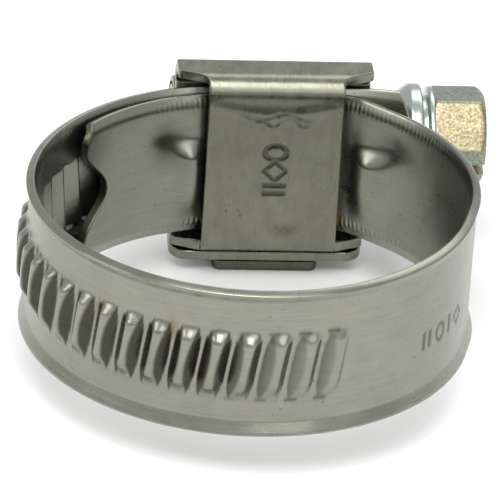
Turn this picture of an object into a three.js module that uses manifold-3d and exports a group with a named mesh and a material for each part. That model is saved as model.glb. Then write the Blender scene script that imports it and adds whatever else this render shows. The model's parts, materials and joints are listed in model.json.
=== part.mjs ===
// Worm-drive hose clamp with an embossed band, opened to its largest working diameter.
// Millimetres, +Z up. The origin is the middle of the hose: Z is the hose's axis, +Y points at
// the housing, and the screw lies along X with its hexagon head at +X.
// The band is one strip. It is cut here into stretches that turn on each other about Z, so that
// the loop can close as the screw draws the free end in.

import * as THREE from 'three';
import { mergeVertices } from 'three/addons/utils/BufferGeometryUtils.js';
import Module from 'manifold-3d';

const wasm = await Module();
wasm.setup();

// ---- Driving dimensions ----

const loopDiameter = 31.5;      // inside the band
const bandWidth = 12;           // over both flared edges
const bandSheet = 0.7;
const flareLength = 1.2;        // each flared edge, along its slope
const flareAngle = THREE.MathUtils.degToRad(26);
const tongueLength = 9.6;       // fixed end, past the plate's left edge
const tailLength = 5.0;         // free end, past the housing
const tailRadius = 14;

const threadPitch = 2.12;
const ridgeHeight = 0.65;
const ridgeLength = 6.2;        // across the band
const ridgeFoot = 0.9;
const ridgeTop = 0.5;
const ridgeSlant = THREE.MathUtils.degToRad(8);
const threadStartAngle = 56;     // the plain part of the round loop ends here, in degrees

const plateLength = 10.4;       // saddle plate, along X
const wingLength = 15;          // saddle walls and housing, along X
const saddleSheet = 0.8;
const saddleHeight = 15.2;      // along Z, outside
const seatOffset = 2.9;         // middle of the housing, in X from the loop's middle
const seatDip = 2.3;            // plate's inner face, below the loop's inner radius
const hemLength = 1.1;          // folded edge that grips the cap's top flange
const hemDrop = 1.3;            // from the top wall down to the fold
const tabWidth = 7.5;
const capSheet = 0.8;

const wormRadius = 3.4;
const wormRootRadius = 2.65;
const neckRadius = 2.3;
const collarRadius = 4.05;
const acrossFlats = 7;
const headLength = 4;
const headTurn = THREE.MathUtils.degToRad(38);   // a flat's normal, above -Y
const slotWidth = 1.1;
const slotDepth = 1.5;
const headGap = 3.4;            // neck, from the housing's end to the collar

// ---- Clearances ----

const plateToBand = 0.15;
const bandToBand = 0.45;        // free run over fixed run, in the housing
const tongueToBand = 0.75;      // tongue inside the loop's left side
const bandToCap = 0.24;
const bandToWorm = 0.2;
const wormToCap = 0.15;
const seamGap = 0.2;            // between folded sheets
const cutGap = 0.3;             // between two stretches of the band
const edgeToWall = 0.8;         // band edge to saddle wall
const bearingGap = 0.3;

// ---- Derived sizes ----

const bandMiddle = loopDiameter / 2 + bandSheet / 2;          // radius of the strip's mid-plane
const seatY = loopDiameter / 2 - seatDip;                     // plate's inner face
const fixedY = seatY + saddleSheet + plateToBand + bandSheet / 2;
const freeY = fixedY + bandSheet + bandToBand;
const webTopY = freeY + bandSheet / 2;
const flareRise = flareLength * Math.sin(flareAngle);
const edgeZ = bandWidth / 2 - (bandSheet / 2) * Math.sin(flareAngle);
const webHalf = edgeZ - flareLength * Math.cos(flareAngle);
const domeRadius = wormRadius + wormToCap + capSheet / 2;     // mid-plane of the dome
const domeSide = domeRadius + capSheet / 2;
const wallZ = Math.max(
  saddleHeight / 2 - saddleSheet / 2,
  bandWidth / 2 + edgeToWall + saddleSheet / 2,
  domeSide + seamGap + hemLength + hemDrop);
const flangeY = webTopY + Math.max(flareRise, ridgeHeight) + bandToCap + capSheet / 2;
const hemY = flangeY + capSheet / 2 + seamGap + saddleSheet / 2;
const wormY = webTopY + bandToWorm + wormRadius;
const capWallZ = wallZ + saddleSheet / 2 + seamGap + capSheet / 2;
const tabZ = capWallZ + capSheet / 2 + seamGap + saddleSheet / 2;
const capLeft = seatOffset - wingLength / 2;
const capRight = seatOffset + wingLength / 2;
const wormLeft = capLeft + capSheet + bearingGap;
const wormRight = capRight - capSheet - bearingGap;

// ---- Solids ----

function solidOf(geometry) {
  const bare = geometry.clone();
  bare.deleteAttribute('normal');
  bare.deleteAttribute('uv');
  const welded = mergeVertices(bare, 1e-5);
  return new wasm.Manifold(new wasm.Mesh({
    numProp: 3,
    vertProperties: new Float32Array(welded.attributes.position.array),
    triVerts: new Uint32Array(welded.index.array),
  }));
}

function geometryOf(solid) {
  const mesh = solid.getMesh();
  const geometry = new THREE.BufferGeometry();
  geometry.setAttribute('position', new THREE.BufferAttribute(mesh.vertProperties, 3));
  geometry.setIndex(new THREE.BufferAttribute(mesh.triVerts, 1));
  geometry.computeVertexNormals();
  return geometry;
}

// A strip of sheet seen end-on: a line of corners [u, v, bend radius], given a thickness.
function ribbon(corners, thickness, bendSteps = 4) {
  const points = corners.map(([u, v]) => new THREE.Vector2(u, v));
  const spine = [];
  const heading = (a, b) => Math.atan2(b.y - a.y, b.x - a.x);
  spine.push({ at: points[0], turn: heading(points[0], points[1]) });
  for (let i = 1; i < points.length - 1; i += 1) {
    const before = heading(points[i - 1], points[i]);
    const after = heading(points[i], points[i + 1]);
    const turn = Math.atan2(Math.sin(after - before), Math.cos(after - before));
    const radius = corners[i][2];
    const reach = radius * Math.tan(Math.abs(turn) / 2);
    const side = Math.sign(turn);
    const start = points[i].clone();
    start.x -= reach * Math.cos(before);
    start.y -= reach * Math.sin(before);
    const centre = new THREE.Vector2(start.x - side * radius * Math.sin(before),
      start.y + side * radius * Math.cos(before));
    const steps = Math.max(2, Math.ceil(bendSteps * Math.abs(turn) / (Math.PI / 2)));
    for (let k = 0; k <= steps; k += 1) {
      const angle = before + (turn * k) / steps;
      spine.push({
        at: new THREE.Vector2(centre.x + side * radius * Math.sin(angle),
          centre.y - side * radius * Math.cos(angle)),
        turn: angle,
      });
    }
  }
  const last = points.length - 1;
  spine.push({ at: points[last], turn: heading(points[last - 1], points[last]) });
  const offset = (distance) => spine.map(({ at, turn }) => new THREE.Vector2(
    at.x - distance * Math.sin(turn), at.y + distance * Math.cos(turn)));
  return new THREE.Shape([...offset(-thickness / 2), ...offset(thickness / 2).reverse()]);
}

function extrudeAlongX(shapeYZ, from, to) {
  const geometry = new THREE.ExtrudeGeometry(shapeYZ, { depth: to - from, bevelEnabled: false });
  const turn = new THREE.Matrix4().makeBasis(
    new THREE.Vector3(0, 1, 0), new THREE.Vector3(0, 0, 1), new THREE.Vector3(1, 0, 0));
  return solidOf(geometry.applyMatrix4(turn).translate(from, 0, 0));
}

function extrudeAlongZ(shapeXY, from, to) {
  const geometry = new THREE.ExtrudeGeometry(shapeXY,
    { depth: to - from, bevelEnabled: false, curveSegments: 6 });
  return solidOf(geometry.translate(0, 0, from));
}

function box(low, high) {
  const size = high.map((value, i) => value - low[i]);
  const geometry = new THREE.BoxGeometry(...size);
  return solidOf(geometry.translate(...low.map((value, i) => value + size[i] / 2)));
}

function turnedAboutX(profile, segments = 40) {
  // profile is [x, radius] from one end of the axis to the other
  const points = profile.map(([x, radius]) => new THREE.Vector2(radius, x));
  return solidOf(new THREE.LatheGeometry(points, segments).rotateZ(-Math.PI / 2));
}

// ---- The band's course in plan ----
// A belt round discs, run clockwise as seen from +Z: it starts on the first disc, takes the outer
// tangent to the next one each time, and ends on the last. Distance along it is s.

function beltRound(discs, firstArc, lastArc) {
  const headings = [];
  for (let i = 0; i + 1 < discs.length; i += 1) {
    const gap = discs[i + 1].centre.clone().sub(discs[i].centre);
    const lean = THREE.MathUtils.clamp((discs[i].radius - discs[i + 1].radius) / gap.length(), -1, 1);
    headings.push(Math.atan2(gap.y, gap.x) - Math.asin(lean));
  }
  headings.unshift(headings[0] + firstArc / discs[0].radius);
  headings.push(headings[headings.length - 1] - lastArc / discs[discs.length - 1].radius);

  const rim = (disc, heading) => disc.centre.clone().add(
    new THREE.Vector2(-Math.sin(heading), Math.cos(heading)).multiplyScalar(disc.radius));
  const pieces = [];
  const marks = {};
  let s = 0;
  discs.forEach((disc, i) => {
    const enter = headings[i];
    const turn = ((enter - headings[i + 1]) % (2 * Math.PI) + 2 * Math.PI) % (2 * Math.PI);
    marks[disc.name] = { from: s, to: s + turn * disc.radius };
    pieces.push({ s, length: turn * disc.radius, disc, enter });
    s += turn * disc.radius;
    if (i + 1 < discs.length) {
      const from = rim(disc, headings[i + 1]);
      const length = from.distanceTo(rim(discs[i + 1], headings[i + 1]));
      pieces.push({ s, length, from, heading: headings[i + 1] });
      s += length;
    }
  });

  function at(distance) {
    const piece = pieces.findLast((p) => distance >= p.s && p.length > 0) ?? pieces[0];
    const along = distance - piece.s;
    if (piece.disc) {
      const heading = piece.enter - along / piece.disc.radius;
      return { point: rim(piece.disc, heading), heading };
    }
    const step = new THREE.Vector2(Math.cos(piece.heading), Math.sin(piece.heading));
    return { point: piece.from.clone().addScaledVector(step, along), heading: piece.heading };
  }
  return { at, marks, length: s };
}

const leftCorner = 2;           // bend radii at the plate's edges and at the housing's mouth
const rightCorner = 3;
const mouthRadius = 6;
const shoulderX = 1.7;          // the right shoulder stands a little outside the round loop
const shoulderY = 1.05;
const shoulderDrop = 1.35;
const mouthSpan = bandMiddle - mouthRadius;
const mouthAngle = Math.PI - Math.asin((freeY - mouthRadius) / mouthSpan);
// The band starts to bend this far inside the plate's edges, so that it dips by half the gap.
const cornerInset = (radius) => {
  const inner = radius - bandSheet / 2;
  return Math.sqrt(inner ** 2 - (inner - plateToBand / 2) ** 2);
};
const leftCornerX = seatOffset - plateLength / 2 + cornerInset(leftCorner);
const rightCornerX = seatOffset + plateLength / 2 - cornerInset(rightCorner);
const tailBendX = seatOffset + plateLength / 2 + 0.9;

function disc(name, x, y, radius) {
  return { name, centre: new THREE.Vector2(x, y), radius };
}

const course = beltRound([
  disc('tongue', 0, 0, bandMiddle - bandSheet - tongueToBand),
  disc('leftCorner', leftCornerX, fixedY - leftCorner, leftCorner),
  disc('rightCorner', rightCornerX, fixedY - rightCorner, rightCorner),
  disc('shoulder', shoulderX, shoulderY, bandMiddle - shoulderDrop),
  disc('loop', 0, 0, bandMiddle),
  disc('mouth', mouthSpan * Math.cos(mouthAngle), mouthSpan * Math.sin(mouthAngle), mouthRadius),
  disc('tail', tailBendX, freeY - tailRadius, tailRadius),
], tongueLength, tailLength);

// ---- Ridges: where they stand along the band ----
// At rest they lie half-way between the turns of the worm.

const freeRunStart = course.marks.mouth.to;
const freeRunStartX = course.at(freeRunStart).point.x;
const firstTooth = freeRunStart + (wormLeft - freeRunStartX) + threadPitch / 2;
const threadFrom = course.marks.loop.from + bandMiddle * THREE.MathUtils.degToRad(threadStartAngle);
const threadTo = course.marks.tail.from - threadPitch / 2;

function ridgePlaces() {
  const places = [];
  const first = Math.ceil((threadFrom - firstTooth) / threadPitch);
  const last = Math.floor((threadTo - firstTooth) / threadPitch);
  for (let k = first; k <= last; k += 1) places.push(firstTooth + k * threadPitch);
  return places;
}

function valleyNear(s) {
  const middle = firstTooth + threadPitch / 2;
  return middle + Math.round((s - middle) / threadPitch) * threadPitch;
}

// ---- The band's stretches ----
// Pivots lie on the strip's mid-plane: at the plate's left edge for the tongue, at its right edge,
// three round the loop, one at the housing's mouth and one where the tail leaves the housing.

const pivotTongue = course.marks.leftCorner.from;
const pivotSaddle = course.marks.rightCorner.to;
const pivotMouth = valleyNear(freeRunStart);
const stretch = (pivotMouth - pivotSaddle) / 4;
const pivots = [
  pivotSaddle,
  pivotSaddle + stretch,
  valleyNear(pivotSaddle + 2 * stretch),
  valleyNear(pivotSaddle + 3 * stretch),
  pivotMouth,
  valleyNear(course.marks.tail.from - 0.2),
];

const bendStep = 1.5;           // length of one facet along the band
const sectionCorner = 0.6;      // bend radius where the flared edges start

// One stretch, made flat as (outward, across, along), then laid along the course.
function flatStrip(from, to) {
  const section = ribbon([
    [flareRise, edgeZ], [0, webHalf, sectionCorner], [0, -webHalf, sectionCorner],
    [flareRise, -edgeZ],
  ], bandSheet, 6);
  const steps = Math.max(1, Math.round((to - from) / bendStep));
  const geometry = new THREE.ExtrudeGeometry(section,
    { depth: to - from, steps, bevelEnabled: false });
  return solidOf(geometry.translate(0, 0, from));
}

function ridge(s) {
  const sink = 0.1;
  const low = bandSheet / 2 - sink;
  const high = bandSheet / 2 + ridgeHeight;
  const profile = new THREE.Shape([
    new THREE.Vector2(-ridgeFoot / 2, low), new THREE.Vector2(ridgeFoot / 2, low),
    new THREE.Vector2(ridgeTop / 2, high), new THREE.Vector2(-ridgeTop / 2, high),
  ]);
  const geometry = new THREE.ExtrudeGeometry(profile, { depth: ridgeLength, bevelEnabled: false });
  const slope = -Math.tan(ridgeSlant);
  const place = new THREE.Matrix4().set(
    0, 1, 0, 0,
    0, 0, 1, -ridgeLength / 2,
    1, 0, slope, s - (slope * ridgeLength) / 2,
    0, 0, 0, 1);
  return solidOf(geometry.applyMatrix4(place));
}

function withRidges(strip, from, to) {
  return ridgePlaces().filter((s) => s > from && s < to)
    .reduce((sum, s) => sum.add(ridge(s)), strip);
}

function layAlongCourse(strip) {
  const geometry = geometryOf(strip);
  const position = geometry.attributes.position;
  for (let i = 0; i < position.count; i += 1) {
    const { point, heading } = course.at(position.getZ(i));
    const outward = position.getX(i);
    position.setXYZ(i, point.x - outward * Math.sin(heading),
      point.y + outward * Math.cos(heading), position.getY(i));
  }
  geometry.computeVertexNormals();
  return geometry;
}

function bandStretch(from, to) {
  return layAlongCourse(withRidges(flatStrip(from, to), from, to));
}

// A cut through the whole thickness, from a shape drawn as (across, along).
function acrossCut(shape) {
  const reach = 2 * (bandSheet + flareRise);
  const geometry = new THREE.ExtrudeGeometry(shape,
    { depth: 2 * reach, bevelEnabled: false, curveSegments: 10 });
  const turn = new THREE.Matrix4().makeBasis(
    new THREE.Vector3(0, 1, 0), new THREE.Vector3(0, 0, 1), new THREE.Vector3(1, 0, 0));
  return solidOf(geometry.applyMatrix4(turn).translate(-reach, 0, 0));
}

// The fixed end's tongue starts in a hollow, wave-shaped edge: two lobes with a round notch between.
function bandTongue() {
  const notch = new THREE.Shape();
  const half = bandWidth * 0.6;
  const depth = 2;
  notch.moveTo(half, -2);
  notch.lineTo(half, 0.4 * depth);
  notch.bezierCurveTo(half * 0.6, -0.6 * depth, half * 0.45, depth, 0, depth);
  notch.bezierCurveTo(-half * 0.45, depth, -half * 0.6, -0.6 * depth, -half, 0.4 * depth);
  notch.lineTo(-half, -2);
  const strip = flatStrip(0, pivotTongue - cutGap / 2).subtract(acrossCut(notch));
  return layAlongCourse(strip);
}

// The tail's end is round, the counterpart of the notch.
function bandTail() {
  const from = pivots[5] + cutGap / 2;
  const to = course.length;
  const round = new THREE.Shape();
  const half = bandWidth * 0.6;
  round.moveTo(-half, from - 1);
  round.lineTo(half, from - 1);
  round.lineTo(half, to - 2.8);
  round.bezierCurveTo(half * 0.7, to - 0.6, half * 0.4, to, 0, to);
  round.bezierCurveTo(-half * 0.4, to, -half * 0.7, to - 0.6, -half, to - 2.8);
  return layAlongCourse(flatStrip(from, to).intersect(acrossCut(round)));
}

// ---- Housing ----

// The saddle: a plate inside the loop, its two walls past the band's edges, the hem that grips the
// cap's top flange, and the tab that hooks under the cap's bottom wall.
function saddleStrap() {
  const plateY = seatY + saddleSheet / 2;
  const bend = 1.1;
  const hemTop = wallZ - hemDrop;
  const section = ribbon([
    [hemY, hemTop - hemLength], [hemY, hemTop, 0.5], [flangeY - 0.4, wallZ, 0.6],
    [plateY, wallZ, bend], [plateY, -wallZ, bend],
    [flangeY - capSheet / 2 - seamGap, -wallZ],
  ], saddleSheet, 6);
  const strap = extrudeAlongX(section, capLeft, capRight);

  const narrow = plateLength / 2;
  const wide = wingLength / 2;
  const reach = hemY + saddleSheet;
  const plan = new THREE.Shape();
  const stepFrom = plateY + 0.7;
  const stepTo = plateY + 1.9;
  plan.moveTo(-narrow, seatY - 1);
  plan.lineTo(narrow, seatY - 1);
  plan.lineTo(narrow, stepFrom);
  plan.bezierCurveTo(narrow, stepTo - 0.4, wide, stepFrom + 0.2, wide, stepTo);
  plan.lineTo(wide, reach);
  plan.lineTo(-wide, reach);
  plan.lineTo(-wide, stepTo);
  plan.bezierCurveTo(-wide, stepFrom + 0.2, -narrow, stepTo - 0.4, -narrow, stepFrom);
  const outline = extrudeAlongZ(plan, -tabZ - 2, tabZ + 2).translate([seatOffset, 0, 0]);

  const hookY = hemY;
  const hook = ribbon([
    [plateY + 2, -wallZ], [hookY, -wallZ, 0.7], [hookY, -tabZ, 0.7], [seatY + 1.6, -tabZ],
  ], saddleSheet, 6);
  const tab = extrudeAlongX(hook, seatOffset - tabWidth / 2, seatOffset + tabWidth / 2);
  return geometryOf(strap.intersect(outline).add(tab));
}

// The cap: a dome over the worm, flat flanges beside it, and a bottom wall that wraps the
// saddle. Its ends are turned in to hold the worm lengthways.
function housingCap() {
  const section = ribbon([
    [flangeY, wallZ - 1.5], [flangeY, domeRadius, 0.5],
    [wormY + domeRadius, domeRadius, domeRadius], [wormY + domeRadius, -domeRadius, domeRadius],
    [flangeY, -domeRadius, 0.5], [flangeY, -capWallZ, 0.8], [seatY + 1.3, -capWallZ],
  ], capSheet, 7);
  const shell = extrudeAlongX(section, capLeft, capRight);

  const slotSide = tabWidth / 2 + bearingGap;
  const slot = box(
    [seatOffset - slotSide, flangeY - capSheet, -wallZ - saddleSheet / 2 - seamGap],
    [seatOffset + slotSide, flangeY + capSheet, -wallZ + saddleSheet / 2 + bearingGap]);

  const rim = turnedAboutX([
    [0, 0], [0, domeRadius], [capSheet, domeRadius], [capSheet, 0],
  ], 28);
  const hole = turnedAboutX([
    [-1, 0], [-1, neckRadius + bearingGap], [capSheet + 1, neckRadius + bearingGap],
    [capSheet + 1, 0],
  ], 28);
  const mouth = box([-1, -2 * domeRadius, -neckRadius - bearingGap],
    [capSheet + 1, 0, neckRadius + bearingGap]);
  const floor = box([-1, -2 * domeRadius, -2 * domeRadius],
    [capSheet + 1, flangeY - capSheet / 2 - wormY, 2 * domeRadius]);
  const endPlate = rim.subtract(hole).subtract(mouth).subtract(floor);
  return geometryOf(shell.subtract(slot)
    .add(endPlate.translate([capLeft, wormY, 0]))
    .add(endPlate.translate([capRight - capSheet, wormY, 0])));
}

// ---- Screw ----

// The worm is a cam-shaped section, turned once for every pitch that it moves along X.
function wormThread() {
  const around = 24;
  const rise = [[0, 1], [0.11, 1], [0.2, 0], [0.8, 0], [0.89, 1], [1, 1]];
  const height = (u) => {
    const i = rise.findIndex(([at]) => at >= u) || 1;
    const [u0, h0] = rise[i - 1];
    const [u1, h1] = rise[i];
    return h0 + ((h1 - h0) * (u - u0)) / (u1 - u0);
  };
  const cam = [];
  for (let k = 0; k < around; k += 1) {
    const u = k / around;
    const radius = wormRootRadius + (wormRadius - wormRootRadius) * height(u);
    const angle = Math.PI + u * 2 * Math.PI;
    cam.push(new THREE.Vector2(radius * Math.cos(angle), radius * Math.sin(angle)));
  }
  const length = wormRight - wormLeft;
  const steps = Math.round((length / threadPitch) * 14);
  const geometry = new THREE.ExtrudeGeometry(new THREE.Shape(cam),
    { depth: length, steps, bevelEnabled: false });
  const position = geometry.attributes.position;
  for (let i = 0; i < position.count; i += 1) {
    const twist = (2 * Math.PI * position.getZ(i)) / threadPitch;
    const y = position.getX(i);
    const z = position.getY(i);
    position.setXYZ(i, position.getZ(i) + wormLeft,
      y * Math.cos(twist) - z * Math.sin(twist), y * Math.sin(twist) + z * Math.cos(twist));
  }
  return solidOf(geometry);
}

function wormScrew() {
  const collarStart = capRight + headGap;
  const collarEnd = collarStart + 0.95;
  const grooveEnd = collarEnd + 0.5;
  const headStart = grooveEnd + 0.45;
  const headEnd = headStart + headLength;
  const bury = 0.3;
  const shaft = turnedAboutX([
    [capLeft - bearingGap, 0], [capLeft - bearingGap, neckRadius], [collarStart - 1.2, neckRadius],
    [collarStart - 1.2, wormRadius - 0.2], [collarStart, collarRadius], [collarEnd, collarRadius],
    [collarEnd, wormRadius - 0.3], [grooveEnd, wormRadius - 0.3], [grooveEnd, acrossFlats * 0.55],
    [headStart, acrossFlats * 0.55], [headStart, neckRadius], [headStart + bury, neckRadius],
    [headStart + bury, 0],
  ], 36);

  const corner = acrossFlats / 2 / Math.cos(Math.PI / 6);
  const hexagon = solidOf(new THREE.CylinderGeometry(corner, corner, headLength, 6)
    .rotateY(Math.PI / 6).rotateZ(-Math.PI / 2).translate(headStart + headLength / 2, 0, 0));
  const chamfer = 0.45;
  const rounding = turnedAboutX([
    [headStart - 1, 0], [headStart - 1, corner + 1], [headEnd - chamfer, corner + 0.1],
    [headEnd, corner - chamfer - 0.1], [headEnd, 0],
  ], 36);
  const slot = box([headEnd - slotDepth, -acrossFlats, -slotWidth / 2],
    [headEnd + 1, acrossFlats, slotWidth / 2]);
  const slotTurn = THREE.MathUtils.radToDeg(headTurn) - 60;
  const head = hexagon.rotate([-THREE.MathUtils.radToDeg(headTurn), 0, 0]).intersect(rounding)
    .subtract(slot.rotate([-slotTurn, 0, 0]));
  const whole = shaft.add(wormThread()).add(head);
  return geometryOf(whole.translate([0, wormY, 0]));
}

// ---- Assembly ----

function steel(color, roughness) {
  return new THREE.MeshStandardMaterial({ color, roughness, metalness: 1 });
}

const nodes = {
  saddle_strap: [saddleStrap(), steel(0x77786a, 0.45)],
  housing_cap: [housingCap(), steel(0x85867a, 0.4)],
  worm_screw: [wormScrew(), steel(0xcdc396, 0.5)],
  band_tongue: [bandTongue(), steel(0x8f9082, 0.4)],
  band_fixed_end: [bandStretch(pivotTongue + cutGap / 2, pivots[0] - cutGap / 2), steel(0x8f9082, 0.4)],
  band_free_end: [bandStretch(pivots[4] + cutGap / 2, pivots[5] - cutGap / 2), steel(0x8f9082, 0.4)],
  band_tail: [bandTail(), steel(0x8f9082, 0.4)],
};
['band_right', 'band_front_right', 'band_front_left', 'band_left'].forEach((name, i) => {
  nodes[name] = [bandStretch(pivots[i] + cutGap / 2, pivots[i + 1] - cutGap / 2),
    steel(0x8f9082, 0.4)];
});

const clamp = new THREE.Group();
for (const [name, [geometry, material]] of Object.entries(nodes)) {
  const mesh = new THREE.Mesh(geometry, material);
  mesh.name = name;
  clamp.add(mesh);
}
export default clamp;
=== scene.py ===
"""Looks of a worm-drive hose clamp: the embossed band, its folded saddle and cap, and the screw.

Lengths in this file are millimetres until a mesh is made, which turns them into metres. X lies
along the screw, +Y points from the hose's middle to the housing, and Z is the hose's axis.
Distance along the band is s. It starts at the tongue, passes over the saddle plate, goes round the
right, front and left of the hose, and ends at the tail. Distance across the band is z.
"""

import json
import math

import bpy
import numpy as np
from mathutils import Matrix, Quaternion, Vector


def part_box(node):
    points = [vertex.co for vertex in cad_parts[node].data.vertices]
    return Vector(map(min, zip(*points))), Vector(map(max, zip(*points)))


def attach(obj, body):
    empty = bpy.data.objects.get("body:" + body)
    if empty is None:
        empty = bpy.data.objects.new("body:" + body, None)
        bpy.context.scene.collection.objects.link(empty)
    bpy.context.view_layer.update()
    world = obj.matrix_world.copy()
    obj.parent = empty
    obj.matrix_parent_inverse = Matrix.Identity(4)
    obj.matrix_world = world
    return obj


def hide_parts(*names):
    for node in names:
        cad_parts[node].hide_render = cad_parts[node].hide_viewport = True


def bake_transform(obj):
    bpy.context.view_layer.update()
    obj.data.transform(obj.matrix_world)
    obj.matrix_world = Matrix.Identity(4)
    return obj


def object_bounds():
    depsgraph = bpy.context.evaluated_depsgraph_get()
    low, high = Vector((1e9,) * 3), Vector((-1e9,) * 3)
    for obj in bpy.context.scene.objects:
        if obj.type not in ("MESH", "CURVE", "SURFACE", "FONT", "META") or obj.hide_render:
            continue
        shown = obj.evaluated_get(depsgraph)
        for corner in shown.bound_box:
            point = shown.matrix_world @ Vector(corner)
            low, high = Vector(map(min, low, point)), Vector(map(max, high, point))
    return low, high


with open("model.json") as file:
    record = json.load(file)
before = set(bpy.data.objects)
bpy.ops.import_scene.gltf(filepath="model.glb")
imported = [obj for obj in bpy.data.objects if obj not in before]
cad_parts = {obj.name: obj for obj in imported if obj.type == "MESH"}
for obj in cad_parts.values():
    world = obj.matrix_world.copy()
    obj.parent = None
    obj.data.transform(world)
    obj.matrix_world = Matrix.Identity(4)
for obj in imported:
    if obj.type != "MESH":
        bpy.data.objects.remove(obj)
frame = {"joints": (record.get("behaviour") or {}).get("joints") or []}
cad_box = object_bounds()

MM = 0.001


# ---- Sizes of the frame ----

def pivot(joint):
    """The point of a joint in millimetres, as x and y."""
    found = next(j for j in frame["joints"] if j["name"] == joint)
    return np.array(found["pos_m"][:2]) / MM


def edge(node, axis, high):
    """One side of a CAD node's box in millimetres."""
    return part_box(node)[high][axis] / MM


LOOP_RADIUS = 15.75             # inside the band
BAND_SHEET = 0.7
FLARE_LENGTH = 0.75
LOWER_FLARE_EXTRA = 0.45        # how much longer the lower flared edge is
FLARE_ANGLE = math.radians(27)
PLAIN_FLARE_ANGLE = math.radians(23)
BEND_RADIUS = 0.6               # where the flared edges start
BAND_HALF = edge("band_front_left", 2, 1)
TONGUE_LENGTH = 9.3
TAIL_LENGTH = 5.0
TAIL_RADIUS = 14.0

PITCH = 2.12
RIDGE_HEIGHT = 0.78
RIDGE_HALF = 2.95               # half of a ridge's length
RIDGE_MIDDLE = -0.15            # across the band
RIDGE_SLANT = math.tan(math.radians(8))
RIDGE_TOP = 0.1                 # half of the crest's width
RIDGE_FLANK = 0.85              # width of one flank
RIDGE_RAMPS = 1.2, 1.8          # lengths of the slopes at a ridge's upper and lower end
CREST_SHIFT = 0.3               # how far the first crest stands off the middle of its ridge
POCKET_DEPTH = 0.4

SHEET = 0.8                     # saddle and cap
PLATE_LENGTH = 10.4
CAP_LEFT = edge("housing_cap", 0, 0)
CAP_RIGHT = edge("housing_cap", 0, 1)
WING_HALF = (CAP_RIGHT - CAP_LEFT) / 2
SEAT_X = (CAP_RIGHT + CAP_LEFT) / 2
SEAT_Y = edge("saddle_strap", 1, 0)
TAB_Z = -edge("saddle_strap", 2, 0) - SHEET / 2
CAP_WALL_Z = -edge("housing_cap", 2, 0) - SHEET / 2
WALL_Z = edge("saddle_strap", 2, 1) - SHEET / 2
TAB_WIDTH = 8.2
SEAM_GAP = 0.2
EDGE_ROUND = 0.13               # sheared sheet, tumbled
EDGE_ROWS = 4                   # grid lines in a rounded edge
PLATE_CLEARANCE = 0.15          # between the saddle plate and the fixed end
LAYER_GAP = 0.45                # between the fixed end and the free end
FLANGE_ROOM = 0.89              # between the free end's web and the cap's flanges

WORM_Y = pivot("screw_turn")[1]
WORM_RADIUS = 3.4
WORM_ROOT = 2.65
NECK_RADIUS = 2.3
COLLAR_RADIUS = 4.05
FLAT_DISTANCE = 3.5             # middle of the hexagon to a flat
HEAD_END = edge("worm_screw", 0, 1)
HEAD_LENGTH = 4.0
HEAD_TURN = math.radians(38)
SLOT_WIDTH = 1.1
SLOT_DEPTH = 1.5
WORM_END_GAP = 0.3              # between the worm and an end plate
COLLAR_STAND_OFF = 3.4          # from the cap to the collar's rim

BAND_MIDDLE = LOOP_RADIUS + BAND_SHEET / 2
FIXED_Y = SEAT_Y + SHEET + PLATE_CLEARANCE + BAND_SHEET / 2
FREE_Y = FIXED_Y + BAND_SHEET + LAYER_GAP
FLANGE_Y = FREE_Y + BAND_SHEET / 2 + FLANGE_ROOM + SHEET / 2
HEM_Y = FLANGE_Y + SHEET + SEAM_GAP
DOME_RADIUS = edge("housing_cap", 1, 1) - WORM_Y - SHEET / 2
EDGE_Z = BAND_HALF - BAND_SHEET / 2 * math.sin(FLARE_ANGLE)
WEB_HALF = EDGE_Z - FLARE_LENGTH * math.cos(FLARE_ANGLE)


# ---- Curves ----

def smooth(value, low, high):
    """0 below low and 1 above high, with the curve 3t^2 - 2t^3 between them."""
    t = np.clip((value - low) / (high - low), 0, 1)
    return t * t * (3 - 2 * t)


def hump(value, middle, width):
    """The bell exp(-((value - middle) / width)^2)."""
    return np.exp(-(((value - middle) / width) ** 2))


def bent_line(corners, step):
    """A polyline of corners (u, v, bend radius), with each corner replaced by a tangent arc.
    Returns evenly spaced points, their headings, and the distance along the line."""
    at = np.array([c[:2] for c in corners], float)
    heading = np.arctan2(*(np.diff(at, axis=0).T[::-1]))
    points, turns = [at[0]], [heading[0]]
    for i in range(1, len(at) - 1):
        turn = math.remainder(heading[i] - heading[i - 1], 2 * math.pi)
        radius, side = corners[i][2], math.copysign(1, turn)
        ahead = np.array([math.cos(heading[i - 1]), math.sin(heading[i - 1])])
        start = at[i] - ahead * radius * math.tan(abs(turn) / 2)
        centre = start + side * radius * np.array([-ahead[1], ahead[0]])
        angles = heading[i - 1] + turn * np.linspace(0, 1, 2 + int(abs(turn) / 0.12))
        points.extend(centre + side * radius * np.stack([np.sin(angles), -np.cos(angles)], 1))
        turns.extend(angles)
    points, turns = np.array(points + [at[-1]]), np.unwrap(turns + [turns[-1]])
    along = np.concatenate([[0], np.cumsum(np.hypot(*np.diff(points, axis=0).T))])
    places = np.linspace(0, along[-1], 1 + math.ceil(along[-1] / step))
    line = np.stack([np.interp(places, along, points[:, 0]),
                     np.interp(places, along, points[:, 1])], 1)
    return line, np.interp(places, along, turns), places


def rounded_steps(half, step):
    """Places across a sheet from -half to half, and how far each face is lowered there, so that
    the sheet's edges are quarter circles."""
    angle = np.linspace(math.pi / 2, 0, EDGE_ROWS)
    flat = half - EDGE_ROUND
    inner = np.linspace(-flat, flat, 2 + math.ceil(2 * flat / step))[1:-1]
    arc_at = -flat - EDGE_ROUND * np.sin(angle)
    arc_down = EDGE_ROUND * (1 - np.cos(angle))
    return (np.concatenate([arc_at, inner, -arc_at[::-1]]),
            np.concatenate([arc_down, np.zeros(len(inner)), arc_down[::-1]]))


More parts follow.
